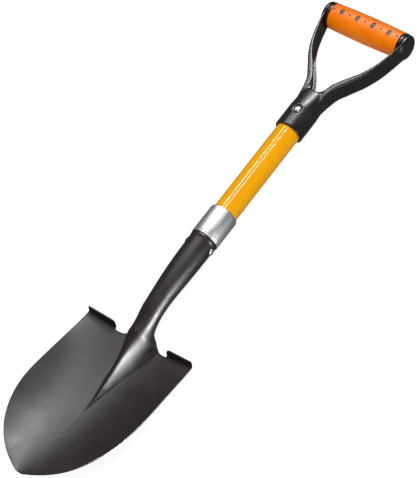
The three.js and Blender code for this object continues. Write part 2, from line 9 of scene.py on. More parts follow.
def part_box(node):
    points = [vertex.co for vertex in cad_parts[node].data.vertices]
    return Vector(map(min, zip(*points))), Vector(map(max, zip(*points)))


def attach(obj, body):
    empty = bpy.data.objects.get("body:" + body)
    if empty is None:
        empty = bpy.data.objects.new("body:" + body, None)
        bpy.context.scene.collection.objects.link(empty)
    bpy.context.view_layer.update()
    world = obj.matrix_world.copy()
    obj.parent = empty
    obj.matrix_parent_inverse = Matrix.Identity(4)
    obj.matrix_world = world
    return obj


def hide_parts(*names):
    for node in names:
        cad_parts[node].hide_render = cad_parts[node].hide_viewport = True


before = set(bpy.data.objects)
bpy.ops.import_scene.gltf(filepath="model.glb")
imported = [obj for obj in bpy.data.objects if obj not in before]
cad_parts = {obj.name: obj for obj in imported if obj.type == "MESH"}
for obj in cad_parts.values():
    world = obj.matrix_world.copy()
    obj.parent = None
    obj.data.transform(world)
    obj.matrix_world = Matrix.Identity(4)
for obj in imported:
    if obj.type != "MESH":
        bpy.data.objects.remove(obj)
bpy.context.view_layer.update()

# ---------------------------------------------------------------- studio
# The tool lies on its back on a white light table, under soft boxes. The camera is a long
# lens above and beyond the blade's right side, so the D-grip is at the top of the view.

camera_data = bpy.data.cameras.new("studio_camera")
camera_data.lens = 162.63
camera_data.clip_end = 60
camera = bpy.data.objects.new("studio_camera", camera_data)
camera.location = (-0.7432, -1.1151, 2.0466)
camera.rotation_euler = [math.radians(a) for a in (31.171, 12.985, -54.11)]
bpy.context.scene.collection.objects.link(camera)
bpy.context.scene.camera = camera
bpy.context.scene.view_settings.view_transform = "Standard"


def linear(code):
    """An sRGB hex colour as linear red, green, blue and alpha."""
    parts = [int(code[k:k + 2], 16) / 255 for k in (1, 3, 5)]
    return [c / 12.92 if c < 0.04045 else ((c + 0.055) / 1.055) ** 2.4 for c in parts] + [1.0]


def add(tree, kind, settings, inputs):
    """One node with its settings; an input is a value or a socket to link from."""
    made = tree.nodes.new(kind)
    for key, value in settings.items():
        setattr(made, key, value)
    for key, value in inputs.items():
        if isinstance(value, bpy.types.NodeSocket):
            tree.links.new(value, made.inputs[key])
        else:
            made.inputs[key].default_value = value
    return made


def start_material(name, settings):
    """A new material, and its Principled shader with some sockets set."""
    made = bpy.data.materials.new(name)
    made.use_nodes = True
    shader = made.node_tree.nodes["Principled BSDF"]
    for key, value in settings.items():
        shader.inputs[key].default_value = value
    return made, shader


# White acrylic table top lit from below: it stays white and takes only a faint soft shadow.
TABLE_SIZE = 40.0
table_white, _ = start_material("acrylic_light_table", {
    "Base Color": linear("#8C8C8C"), "Roughness": 0.9, "Specular IOR Level": 0.1,
    "Emission Color": linear("#FFFFFF"), "Emission Strength": 0.93})
table_mesh = bpy.data.meshes.new("light_table")
half = TABLE_SIZE / 2
table_mesh.from_pydata([(-half, -half, 0), (half, -half, 0), (half, half, 0), (-half, half, 0)],
                       [], [(0, 1, 2, 3)])
table_mesh.materials.append(table_white)
light_table = bpy.data.objects.new("light_table", table_mesh)
bpy.context.scene.collection.objects.link(light_table)
light_table.visible_glossy = False

world = bpy.data.worlds.new("studio_room")
world.use_nodes = True
world.node_tree.nodes["Background"].inputs["Color"].default_value = linear("#F4F5F7")
world.node_tree.nodes["Background"].inputs["Strength"].default_value = 0.1
bpy.context.scene.world = world


def soft_box(name, place, towards, width, length, power, along, sheen_only=False):
    """A rectangular soft light; its length runs as near to the direction `along` as it can.

    With `sheen_only` it shows in glossy surfaces, and doesn't light the colour under them."""
    data = bpy.data.lights.new(name, "AREA")
    data.shape = "RECTANGLE"
    data.size = width
    data.size_y = length
    data.energy = power
    box = bpy.data.objects.new(name, data)
    back = (Vector(place) - Vector(towards)).normalized()
    across = Vector(along).cross(back).normalized()
    turn = Matrix((across, back.cross(across), back)).transposed().to_4x4()
    box.matrix_world = Matrix.Translation(place) @ turn
    bpy.context.scene.collection.objects.link(box)
    box.visible_diffuse = not sheen_only
    return box


# A box overhead, a box beyond the grip, one on the far side, a card on the near side and a
# small card close to the blade. A broad ceiling light brings up the colours and stays out of
# the reflections.
soft_box("top_box", (0.64, 0.02, 1.45), (0.1, 0.0, 0.0), 0.10, 0.36, 2.4, (1, 0, 0), True)
soft_box("grip_side_box", (0.97, 0.15, 0.92), (-0.2, 0.0, 0.0), 0.34, 0.36, 15, (0, 1, 0), True)
soft_box("far_box", (0.80, 0.74, 1.35), (0.25, 0.0, 0.0), 0.12, 0.8, 7, (1, 0, 0), True)
soft_box("near_card", (-0.46, -1.20, 0.24), (-0.2, 0.0, 0.02), 0.44, 0.8, 8, (1, 0, 0), True)
blade_card = soft_box("blade_card", (-0.22, -0.42, 0.06), (-0.22, 0.0, 0.02), 0.12, 0.32, 0.6,
                      (1, 0, 0), True)
blade_card.data.spread = math.radians(44)
ceiling = soft_box("ceiling", (0.1, -0.2, 1.8), (0.0, 0.0, 0.0), 1.2, 1.6, 35, (1, 0, 0))
ceiling.visible_glossy = False

# ---------------------------------------------------------------- shaft line
# Every piece is laid out along the shaft, in millimetres: X up the shaft from the lower rim
# of the ferrule, Z to the front. The line runs through the lower plug and the grip rod.


def middle(node):
    low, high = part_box(node)
    return (low + high) / 2


PLUG_MIDDLE = -8.0
plug_point = middle("lower_core_plug")
shaft_way = (middle("grip_rod") - plug_point).normalized()
front_way = Vector((-shaft_way.z, 0, shaft_way.x))
shaft_zero = plug_point - shaft_way * PLUG_MIDDLE / 1000
shaft_frame = Matrix.Translation(shaft_zero) @ Matrix((
    (shaft_way.x / 1000, 0, front_way.x / 1000, 0),
    (0, 0.001, 0, 0),
    (shaft_way.z / 1000, 0, front_way.z / 1000, 0),
    (0, 0, 0, 1)))
SHAFT_TURN = (0, -math.atan2(-shaft_way.z, shaft_way.x), 0)


def smooth_curve(knots):
    """A cubic through the knots with limited slopes, so it never overshoots them."""
    xs, ys = zip(*knots)
    slopes = [(ys[i + 1] - ys[i]) / (xs[i + 1] - xs[i]) for i in range(len(xs) - 1)]
    tangents = [slopes[0]]
    for a, b in zip(slopes, slopes[1:]):
        tangents.append(2 * a * b / (a + b) if a * b > 0 else 0)
    tangents.append(slopes[-1])

    def value(x):
        if x <= xs[0]:
            return ys[0]
        if x >= xs[-1]:
            return ys[-1]
        i = next(k for k in range(len(xs) - 1) if xs[k + 1] > x)
        h = xs[i + 1] - xs[i]
        t = (x - xs[i]) / h
        return ((1 + 2 * t) * (1 - t) ** 2 * ys[i] + t * (1 - t) ** 2 * h * tangents[i]
                + t * t * (3 - 2 * t) * ys[i + 1] + t * t * (t - 1) * h * tangents[i + 1])

    return value


def mix(a, b, t):
    return a + (b - a) * t


def solid(name, points, faces):
    """A mesh object whose faces point outwards."""
    mesh = bpy.data.meshes.new(name)
    mesh.from_pydata([tuple(p) for p in points], [], faces)
    made = bpy.data.objects.new(name, mesh)
    bpy.context.scene.collection.objects.link(made)
    shell = bmesh.new()
    shell.from_mesh(mesh)
    bmesh.ops.recalc_face_normals(shell, faces=shell.faces)
    shell.to_mesh(mesh)
    shell.free()
    return made


def settle(piece):
    """Turns the modifiers of a piece into plain mesh."""
    graph = bpy.context.evaluated_depsgraph_get()
    final = bpy.data.meshes.new_from_object(piece.evaluated_get(graph))
    piece.modifiers.clear()
    piece.data = final
    return piece


def finish_piece(piece, material, nodes, sharp=35):
    piece.data.transform(shaft_frame)
    piece.data.materials.clear()
    piece.data.materials.append(material)
    piece.data.shade_smooth()
    piece.data.set_sharp_from_angle(angle=math.radians(sharp))
    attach(piece, "root")
    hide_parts(*nodes)


# ---------------------------------------------------------------- blade
# One pressed sheet of carbon steel, 1.3 mm thick: a dished round point with two treads
# folded forwards, a raised ridge down the middle and a rolled open-back socket above it.

SHEET = 1.3
STEP_X = -133
BLADE_LENGTH = 205
half_width = smooth_curve([[0, 73.5], [30, 74], [60, 75], [85, 75.5], [105, 75], [127, 71.5],
                           [150, 63], [172, 49.5], [190, 30.5], [200, 14], [205, 3.5]])
dish_depth = smooth_curve([[0, 10], [50, 19], [100, 23], [150, 17.5], [184, 7.5], [205, 0.2]])
HEEL_Z = -32.4
TIP_Z = 8.1
RIDGE_LENGTH = 101
RIDGE_TIP_Z = -24.7
RIDGE_HALF_WIDTH = 18
RIDGE_TOP_Z = -1
TREAD_INNER_Y = 36.5
TREAD_RISE = (10, 7)
TREAD_ANGLE = math.radians(80)
TREAD_BEND_R = 2
socket_radius = smooth_curve([[-133, 11.8], [-120, 12.7], [-108, 13.1], [-96, 13.1], [-84, 13.4],
                              [-72, 14.1], [-60, 14.85], [-48, 15.5], [-30, 16.1], [-12, 16.4],
                              [-6, 16.5], [37, 16.5]])
socket_centre = smooth_curve([[-133, -12.8], [-120, -10], [-108, -7.4], [-96, -4.8], [-84, -2.7],
                              [-72, -1.6], [-60, -0.9], [-48, -0.5], [-20, 0], [37, 0]])
SEAM_HALF_ANGLE = math.radians(5)
BEAD_HEIGHT = 0.95
BEAD_X = -2
BEAD_REACH = 2.2
FOLD_START = 0.45
FOLD_DROP = 0.2
FLAT_LENGTH = 30
CREST_ROUND = 0.2
RIDGE_FALL = 1.28
CORNER_RISE = 7
CORNER_WIDTH = 0.22
CORNER_FADE = 12
CORNER_START = -117
CORNER_RUN = 16
FOOT_CREASE = 0.55
ROLL_END = -103
OPENING_RUN = 29
OPENING_EASE = 1.2


def keel_z(t):
    """Middle line of the dish: a parabola through the heel, the ridge's end and the tip."""
    rise = RIDGE_TIP_Z - HEEL_Z
    full = TIP_Z - HEEL_Z
    span = RIDGE_LENGTH * BLADE_LENGTH * (BLADE_LENGTH - RIDGE_LENGTH)
    c = (full * RIDGE_LENGTH - rise * BLADE_LENGTH) / span
    a = (rise - c * RIDGE_LENGTH ** 2) / RIDGE_LENGTH
    return HEEL_Z + a * t + c * t * t


def dish_z(t, y):
    """Across the blade the dish is a parabola; it is a straight line at the tread fold."""
    u = min(1, abs(y) / half_width(t))
    curved = u * u
    straight = max(curved, mix(FOLD_DROP, 1, (u - FOLD_START) / (1 - FOLD_START)))
    flat = max(0, 1 - t / FLAT_LENGTH) if u > FOLD_START else 0
    return keel_z(t) + dish_depth(t) * mix(curved, straight, flat)


def ridge_half(t):
    u = min(1, t / RIDGE_LENGTH)
    return max(min(1.4, 0.2 * half_width(t)), RIDGE_HALF_WIDTH * (1 - u))


def ridge_point(t, s):
    """The raised ridge: round at the socket, then a roof with flat flanks and a round crest.

    s is 0 at the crest and 1 at the foot."""
    a = abs(s) * math.pi / 2
    flatness = min(1, t / FLAT_LENGTH)
    width = mix(0.68 * math.sin(a) + 0.32 * abs(s), abs(s), flatness)
    roof = 1 - (math.hypot(s, CREST_ROUND) - CREST_ROUND) / (math.hypot(1, CREST_ROUND)
                                                             - CREST_ROUND)
    y = ridge_half(t) * width
    u = min(1, t / RIDGE_LENGTH)
    height = (RIDGE_TOP_Z - HEEL_Z) * (1 - u) ** RIDGE_FALL
    return math.copysign(y, s), dish_z(t, y) + height * mix(math.cos(a), roof, flatness)


def rolled_point(x, s):
    """The rolled socket: an arc that nearly meets itself at the back, with a bead at the top."""
    a = s * (math.pi - SEAM_HALF_ANGLE)
    r = socket_radius(x) + BEAD_HEIGHT * max(0, 1 - abs(x - BEAD_X) / BEAD_REACH)
    return r * math.sin(a), socket_centre(x) + r * math.cos(a)


WING = [0, 0.08, 0.16, 0.25, 0.333, 0.5, 0.67, 0.84, 0.97, 1]
RIDGE = [0, 0.11, 0.22, 0.33, 0.44, 0.56, 0.67, 0.78, 0.89, 1]
BLADE_ROWS = [0, 4, 10, 18, 28, 40, 53, 67, 81, 93, 101, 111, 123, 135, 147,
              158, 168, 177, 185, 192, 197, 201, 203.5, 205]
SOCKET_ROWS = [-129, -125, -121, -117, -113, -109, -105, -101, -96, -90, -82, -72, -60,
               -46, -30, -16, -7, -4.2, -2, 0, 3, 37]
TREAD_STEPS = [0.33, 0.66, 1, 2]


def blade_front():
    """The front surface as a net of quads: columns across the blade, rows along it."""
    points, quads, creases = [], [], set()

    def put(x, y, z):
        points.append(Vector((x, y, z)))
        return len(points) - 1

    ridge_s = [-s for s in RIDGE[:0:-1]] + RIDGE
    last = len(WING) - 1
    rows = []
    for t in BLADE_ROWS:
        foot, edge, lift = ridge_half(t), half_width(t), math.exp(-t / CORNER_FADE)

        def wing(side):
            row = []
            for u in WING[1:]:
                y = mix(foot, edge, u)
                corner = CORNER_RISE * max(0, 1 - u / CORNER_WIDTH) ** 2 * lift
                row.append(put(STEP_X - t + corner, side * y, dish_z(t, y)))
            return row

        right = wing(-1)[::-1]
        centre = []
        for s in ridge_s:
            y, z = ridge_point(t, s)
            centre.append(put(STEP_X - t + CORNER_RISE * abs(s) ** 6 * lift, y, z))
        rows.append(right + centre + wing(1))

    def join(lower, upper, start, stop):
        for j in range(start, stop):
            quads.append((lower[j], upper[j], upper[j + 1], lower[j + 1]))

    for upper, lower in zip(rows, rows[1:]):
        join(lower, upper, 0, len(rows[0]) - 1)
        if points[upper[last]].x > STEP_X - RIDGE_LENGTH:
            for column in (last, last + len(ridge_s) - 1):
                creases.add((upper[column], lower[column]))

    below = rows[0]
    for x in SOCKET_ROWS:
        opened = min(1, max(0, (ROLL_END - x) / OPENING_RUN)) ** OPENING_EASE
        row = list(below)
        for k, s in enumerate(ridge_s):
            yc, zc = ridge_point(0, s)
            yt, zt = rolled_point(x, s)
            run = CORNER_RISE * abs(s) ** 6 * max(0, (CORNER_START - x) / CORNER_RUN)
            row[last + k] = put(x + run, mix(yt, yc, opened), mix(zt, zc, opened))
        join(below, row, last, last + len(ridge_s) - 1)
        below = row

    def fold(columns):
        lower = [rows[0][c] for c in columns]
        start = [points[i].copy() for i in lower]
        for f in TREAD_STEPS:
            a = min(1, f) * TREAD_ANGLE
            upper = []
            for p in start:
                out = (abs(p.y) - TREAD_INNER_Y) / (half_width(0) - TREAD_INNER_Y)
                rise = mix(*TREAD_RISE, out) if f > 1 else 0
                upper.append(put(p.x + TREAD_BEND_R * math.sin(a) + rise * math.cos(TREAD_ANGLE),
                                 p.y,
                                 p.z + TREAD_BEND_R * (1 - math.cos(a))
                                 + rise * math.sin(TREAD_ANGLE)))
            for j in range(len(upper) - 1):
                quads.append((lower[j], upper[j], upper[j + 1], lower[j + 1]))
            lower = upper

    tread_columns = last - WING.index(0.333) + 1
    wide = len(rows[0])
    fold(range(tread_columns))
    fold(range(wide - tread_columns, wide))
    return points, quads, creases


def object_noise(shader, scale, detail, roughness=0.5, turn=(0, 0, 0), stretch=(1, 1, 1)):
    """Noise in the object's own metres, turned and stretched where a grain runs one way."""
    tree = shader.id_data
    coords = add(tree, "ShaderNodeTexCoord", {}, {}).outputs["Object"]
    lined = add(tree, "ShaderNodeMapping", {}, {"Vector": coords, "Rotation": turn,
                                                "Scale": stretch})
    made = add(tree, "ShaderNodeTexNoise", {}, {"Vector": lined.outputs["Vector"],
                                                "Scale": scale, "Detail": detail,
                                                "Roughness": roughness})
    return made.outputs["Fac"]


def vary_colour(shader, source, *stops):
    """Colours the surface from two (position, hex colour) stops."""
    tree = shader.id_data
    tone = add(tree, "ShaderNodeValToRGB", {}, {"Fac": source})
    for element, (position, code) in zip(tone.color_ramp.elements, stops):
        element.position = position
        element.color = linear(code)
    tree.links.new(tone.outputs["Color"], shader.inputs["Base Color"])


def vary_roughness(shader, source, least, most):
    tree = shader.id_data
    spread = add(tree, "ShaderNodeMapRange", {}, {"Value": source, "From Min": 0.3,
                                                  "From Max": 0.7, "To Min": least,
                                                  "To Max": most})
    tree.links.new(spread.outputs["Result"], shader.inputs["Roughness"])


def add_grain(shader, source, strength, height):
    """Fine relief in the surface's shading; its height is in metres."""
    tree = shader.id_data
    bump = add(tree, "ShaderNodeBump", {}, {"Strength": strength, "Distance": height,
                                            "Height": source})
    tree.links.new(bump.outputs["Normal"], shader.inputs["Normal"])


# Powder coat: satin black, faintly pebbled, with patches a little smoother from handling.
blade_black, shader = start_material("satin_black_powder_coat", {"IOR": 1.5})
smudges = object_noise(shader, 28.0, 5.0, 0.62)
vary_colour(shader, smudges, (0.35, "#262120"), (0.68, "#2C2725"))
vary_roughness(shader, smudges, 0.34, 0.46)
# pebble of about 0.9 mm, drawn coarser than the 0.3 mm of the real coat so that it shows
add_grain(shader, object_noise(shader, 1100.0, 2.0), 0.16, 0.0004)

points, quads, creases = blade_front()
blade_mesh = bpy.data.meshes.new("round_point_blade")
blade_mesh.from_pydata([tuple(p) for p in points], [], quads)
blade_net = bmesh.new()
blade_net.from_mesh(blade_mesh)
bmesh.ops.recalc_face_normals(blade_net, faces=blade_net.faces)
if sum(f.normal.z for f in blade_net.faces) < 0:
    bmesh.ops.reverse_faces(blade_net, faces=blade_net.faces)
crease_layer = blade_net.edges.layers.float.new("crease_edge")
for edge in blade_net.edges:
    pair = tuple(v.index for v in edge.verts)
    if pair in creases or pair[::-1] in creases:
        edge[crease_layer] = FOOT_CREASE
blade_net.to_mesh(blade_mesh)
blade_net.free()
blade = bpy.data.objects.new("round_point_blade", blade_mesh)
bpy.context.scene.collection.objects.link(blade)
blade_curve = blade.modifiers.new("pressing", "SUBSURF")
blade_curve.levels = blade_curve.render_levels = 2
blade_wall = blade.modifiers.new("sheet", "SOLIDIFY")
blade_wall.thickness = SHEET
blade_wall.offset = -1
settle(blade)
finish_piece(blade, blade_black, ["blade"], 50)

# ---------------------------------------------------------------- shaft tube
# A pultruded glass-fibre tube with a glossy yellow-orange polyester skin. Its lower end is
# ground down to the taper of the socket, and its upper end is glued and riveted in the yoke.

TUBE_R = 14.85
TUBE_BORE_R = 11.6
SOCKET_GAP = 0.55


def turned(name, loop, axis, centre, steps):
    """A closed loop of (station, radius) pairs turned about an axis through the centre."""
    points, faces = [], []
    count = len(loop)
    for k in range(steps):
        a = 2 * math.pi * k / steps
        for station, radius in loop:
            u, v = radius * math.cos(a), radius * math.sin(a)
            local = {"x": (station, u, v), "y": (u, station, v), "z": (u, v, station)}[axis]
            points.append(Vector(centre) + Vector(local))
    for k in range(steps):
        for i in range(count):
            a, b = k * count + i, k * count + (i + 1) % count
            c, d = (k + 1) % steps * count + (i + 1) % count, (k + 1) % steps * count + i
            faces.append((a, b, c, d))
    made = solid(name, points, faces)
    poles = bmesh.new()
    poles.from_mesh(made.data)
    bmesh.ops.remove_doubles(poles, verts=poles.verts, dist=1e-5)
    bmesh.ops.dissolve_degenerate(poles, edges=poles.edges, dist=1e-6)
    loose = [edge for edge in poles.edges if not edge.link_faces]
    bmesh.ops.delete(poles, geom=loose, context="EDGES")
    bmesh.ops.recalc_face_normals(poles, faces=poles.faces)
    poles.to_mesh(made.data)
    poles.free()
    return made


# Gelcoat: clear and glossy over a warm pigment, with faint paler rovings along the tube.
tube_gelcoat, shader = start_material("yellow_orange_polyester_gelcoat", {
    "Roughness": 0.14, "IOR": 1.54, "Specular IOR Level": 0.3, "Coat Weight": 0.5,
    "Coat Roughness": 0.06})
# rovings 2 mm wide and a hand long
rovings = object_noise(shader, 1.0, 3.0, turn=SHAFT_TURN, stretch=(6.0, 520.0, 520.0))
vary_colour(shader, rovings, (0.3, "#F8A700"), (0.72, "#FCB300"))
add_grain(shader, rovings, 0.05, 0.0003)


def tube_fit(x):
    """Outer radius of the tube: it clears the inside of the socket all the way down."""
    return min(TUBE_R, socket_radius(x) - SHEET - SOCKET_GAP)


tube = turned("shaft_tube_gelcoated", [
    (-42, tube_fit(-42) - 0.8), (-41.2, tube_fit(-41.2)), (-26, tube_fit(-26)),
    (-10, tube_fit(-10)), (4, TUBE_R), (206.2, TUBE_R), (207, TUBE_R - 0.8),
    (207, TUBE_BORE_R), (-42, TUBE_BORE_R)], "x", (0, 0, 0), 120)
finish_piece(tube, tube_gelcoat, ["shaft_tube"])

# ---------------------------------------------------------------- ferrule
# A short sleeve of drawn aluminium tube that hides the top of the socket. Its lower rim is
# rolled into a small bead and its upper edge is spun in against the shaft.

FERRULE_R = 17.4
SOCKET_END = 37
INNER_R = 16.8
NECK_R = 15.15

# Drawn aluminium: bright and clean, with drawing lines 2 mm wide that run along the tube.
ferrule_metal, shader = start_material("drawn_bright_aluminium", {
    "Base Color": linear("#DADCDE"), "Metallic": 1.0})
lines = object_noise(shader, 1.0, 4.0, 0.6, SHAFT_TURN, (6.0, 520.0, 520.0))
vary_roughness(shader, lines, 0.36, 0.58)
add_grain(shader, lines, 0.6, 0.0004)

ferrule = turned("rolled_edge_ferrule", [
    (0.4, INNER_R), (0.4, FERRULE_R - 0.3), (0.7, FERRULE_R), (1.2, FERRULE_R + 0.1),
    (1.8, FERRULE_R), (2.3, FERRULE_R - 0.25), (3.0, FERRULE_R - 0.1), (4.0, FERRULE_R),
    (36.8, FERRULE_R), (38.0, FERRULE_R - 0.3), (39.0, FERRULE_R - 0.8), (39.8, FERRULE_R - 1.6),
    (39.8, NECK_R), (SOCKET_END + 0.5, NECK_R), (SOCKET_END + 0.5, INNER_R)],
    "x", (0, 0, 0), 120)
finish_piece(ferrule, ferrule_metal, ["ferrule"])

# ---------------------------------------------------------------- yoke
# One injection moulding in black nylon: a round socket for the shaft that opens into two
# arms. Each arm is a channel open inwards and ends in a round boss that holds the grip.

YOKE_MOUTH = 165.7
YOKE_R = 17.9
YOKE_BORE_END = 210
CROTCH_X = 223
ARM_START = 206
arm_outer = smooth_curve([[206, 15.4], [218, 15.7], [232, 18.3], [248, 27.3], [266, 38.7],
                          [286, 47.2], [306, 52.4], [320, 55.2], [331, 57]])
arm_depth = smooth_curve([[206, 17], [216, 22], [228, 25], [250, 25], [285, 26], [331, 28]])
arm_reach = smooth_curve([[206, 7.4], [240, 7.4], [280, 4.6], [315, 3.2], [331, 3]])
ARM_WEB = 2.9
FLANGE = 2.9
POCKET_START = 214.2
CROTCH_HALF = 11.4
HOLLOW_HALF = 7.3
BOSS_R = 15.4
BOSS_IN = 52.9
BOSS_OUT = 58
GRIP_X = 330.4
HAND_ROOM_R = 16.9
RIVET_X = 189.8
RIVET_HOLE_R = 2.9
RECESS_R = 5.7
RECESS_FLOOR = 16.3
ROD_HOLE_R = 4.3
ROD_HOLE_HALF = 55.9
EDGE_LINE = (244, 322)
EDGE_DEPTH = 0.9
VOXEL = 0.75


def loft(name, sections):
    """Closed loops of equal length joined in order, with a face over each end."""
    n = len(sections[0])
    faces = [tuple(range(n))[::-1]]
    for i in range(len(sections) - 1):
        for j in range(n):
            a, b = i * n + j, i * n + (j + 1) % n
            faces.append((a, b, b + n, a + n))
    faces.append(tuple(range((len(sections) - 1) * n, len(sections) * n)))
    return solid(name, [p for loop in sections for p in loop], faces)


def arm_slice(side, x, near, far, low, high, ease):
    """A slice across an arm between two distances in from its outer face, corners eased."""
    slope = arm_outer(x + 0.5) - arm_outer(x - 0.5)
    length = math.hypot(1, slope)
    corners = []
    for n, z, dn, dz in ((near, low, 1, 0), (near, low, 0, 1), (near, high, 0, -1),
                         (near, high, 1, 0), (far, high, -1, 0), (far, high, 0, -1),
                         (far, low, 0, 1), (far, low, -1, 0)):
        depth = n + dn * ease
        corners.append((x + slope / length * depth,
                        side * (arm_outer(x) - depth / length), z + dz * ease))
    return corners


def stations(first, last, step):
    return list(np.arange(first, last, step)) + [last]


def arm(side):
    return loft("arm", [arm_slice(side, x, 0, arm_reach(x), -arm_depth(x) / 2,
                                  arm_depth(x) / 2, 1.2)
                        for x in stations(ARM_START, GRIP_X, 2)])


def arm_channel(side):
    """The hollow of the channel; it runs out flush with the web near the grip."""
    slices = []
    for x in stations(POCKET_START, GRIP_X, 2):
        near = max(ARM_WEB, mix(ARM_WEB, arm_reach(x) + 0.6, (x - 300) / 15))
        wall = arm_depth(x) / 2 - FLANGE
        slices.append(arm_slice(side, x, min(near, arm_reach(x) + 0.6), arm_reach(x) + 2.5,
                                -wall, wall, 0.5))
    return loft("arm_channel", slices)


def edge_line(side):
    """A fine groove that sets the back edge of the arm off from its outer face."""
    slices = []
    for x in stations(*EDGE_LINE, 2):
        depth = EDGE_DEPTH * min(1, (x - 243) / 30)
        low = 3.3 - arm_depth(x) / 2
        slices.append(arm_slice(side, x, -1, depth, low, low + 1.5, 0.2))
    return loft("edge_line", slices)


def shoulder():
    """Round below and a little squarer above, where the socket spreads into the arms."""
    loops = []
    for x, k in [(x, 1) for x in stations(195, CROTCH_X - 1.5, 2.5)] + [(CROTCH_X - 0.4, 0.97),
                                                                       (CROTCH_X, 0.92)]:
        t = min(1, max(0, (x - 196) / (CROTCH_X - 196)))
        power = 2 / mix(2, 2.5, t)
        loop = []
        for j in range(96):
            c, s = math.cos(j * math.pi / 48), math.sin(j * math.pi / 48)
            loop.append((x, k * mix(YOKE_R, 15.8, t) * math.copysign(abs(c) ** power, c),
                         k * mix(YOKE_R, 13.6, t) * math.copysign(abs(s) ** power, s)))
        loops.append(loop)
    return loft("shoulder", loops)


def crotch(name, half, start, sag, bevel):
    """Fills the fork between the arms up to a rounded notch."""
    def bend(a, b, c, steps=8):
        out = []
        for k in range(1, steps + 1):
            t = k / steps
            out.append([(1 - t) ** 2 * a[i] + 2 * t * (1 - t) * b[i] + t * t * c[i]
                        for i in (0, 1)])
        return out

    foot = CROTCH_X + sag
    outline = [[start, -12], [240, -15]]
    for b, c in (([foot + 3, -9.5], [foot + 0.8, -5]), ([foot - 0.8, 0], [foot + 0.8, 5]),
                 ([foot + 3, 9.5], [240, 15])):
        outline += bend(outline[-1], b, c)
    outline.append([start, 12])
    middle_x = sum(p[0] for p in outline) / len(outline)
    layers = []
    for z, k in ((-half, 1 - bevel / 12), (-half + bevel, 1), (half - bevel, 1),
                 (half, 1 - bevel / 12)):
        layers.append([(middle_x + k * (x - middle_x), k * y, z) for x, y in outline])
    return loft(name, layers if bevel else layers[1:3])


def combine(body, other, operation):
    cut = body.modifiers.new("cut", "BOOLEAN")
    cut.operation = operation
    cut.solver = "MANIFOLD"
    cut.object = other
    settle(body)
    bpy.data.objects.remove(other)
    return body


yoke = turned("d_grip_yoke", [(YOKE_MOUTH, 0), (YOKE_MOUTH, YOKE_R - 1.4),
                              (YOKE_MOUTH + 0.5, YOKE_R - 0.4), (YOKE_MOUTH + 1.4, YOKE_R),
                              (198, YOKE_R), (198, 0)], "x", (0, 0, 0), 96)
combine(yoke, shoulder(), "UNION")
combine(yoke, crotch("fork", CROTCH_HALF, 212, 0, 0.8), "UNION")
for side in (-1, 1):
    combine(yoke, arm(side), "UNION")
    rim = [(BOSS_IN - 1, 0), (BOSS_IN - 1, BOSS_R), (BOSS_OUT - 2.6, BOSS_R),
           (BOSS_OUT - 1.2, BOSS_R - 0.6), (BOSS_OUT - 0.4, BOSS_R - 1.6),
           (BOSS_OUT, BOSS_R - 3), (BOSS_OUT, 0)]
    combine(yoke, turned("boss", [(side * y, r) for y, r in rim], "y", (GRIP_X, 0, 0), 96),
            "UNION")
for side in (-1, 1):
    combine(yoke, arm_channel(side), "DIFFERENCE")
    combine(yoke, edge_line(side), "DIFFERENCE")
combine(yoke, crotch("fork_hollow", HOLLOW_HALF, POCKET_START + 0.4, 12, 0), "DIFFERENCE")
bore = TUBE_R + 0.3
combine(yoke, turned("bore", [(YOKE_MOUTH - 5, 0), (YOKE_MOUTH - 5, bore + 1.1),
                              (YOKE_MOUTH, bore + 1.1), (YOKE_MOUTH + 0.8, bore),
                              (YOKE_BORE_END, bore), (YOKE_BORE_END, 0)],
                     "x", (0, 0, 0), 96), "DIFFERENCE")
combine(yoke, turned("hand_room", [(-BOSS_IN, 0), (-BOSS_IN, HAND_ROOM_R),
                                   (BOSS_IN, HAND_ROOM_R), (BOSS_IN, 0)],
                     "y", (GRIP_X, 0, 0), 96), "DIFFERENCE")
combine(yoke, turned("rivet_hole", [(-30, 0), (-30, RIVET_HOLE_R), (30, RIVET_HOLE_R), (30, 0)],
                     "z", (RIVET_X, 0, 0), 48), "DIFFERENCE")
for side in (-1, 1):
    combine(yoke, turned("recess", [(side * RECESS_FLOOR, 0), (side * RECESS_FLOOR, RECESS_R),
                                    (side * 30, RECESS_R), (side * 30, 0)],
                         "z", (RIVET_X, 0, 0), 64), "DIFFERENCE")
combine(yoke, turned("rod_hole", [(-ROD_HOLE_HALF, 0), (-ROD_HOLE_HALF, ROD_HOLE_R),
                                  (ROD_HOLE_HALF, ROD_HOLE_R), (ROD_HOLE_HALF, 0)],
                     "y", (GRIP_X, 0, 0), 48), "DIFFERENCE")
# the eased edges that every moulding has
moulded = yoke.modifiers.new("moulded", "REMESH")
moulded.mode = "VOXEL"
moulded.voxel_size = VOXEL
eased = yoke.modifiers.new("eased", "SMOOTH")
eased.factor = 0.5
eased.iterations = 3
settle(yoke)

# Moulded nylon: satin black, with the fine even grain of a spark-eroded mould.
yoke_nylon, shader = start_material("moulded_black_nylon", {"IOR": 1.53})
flow = object_noise(shader, 45.0, 4.0)
vary_colour(shader, flow, (0.35, "#1E1C1C"), (0.7, "#262424"))
vary_roughness(shader, flow, 0.29, 0.37)
# mould grain of about 0.8 mm, drawn coarser than the real 0.1 mm so that it shows
add_grain(shader, object_noise(shader, 1300.0, 2.0), 0.14, 0.0004)
finish_piece(yoke, yoke_nylon, ["yoke"], 70)

# ---------------------------------------------------------------- rivets and washer
# Two cold-headed steel rivets, zinc plated. One crosses the socket from side to side, and
# one goes through the yoke from front to back, with a plain washer under its peened tail.

SHANK_R = 2.6
SOCKET_RIVET_X = -9.5


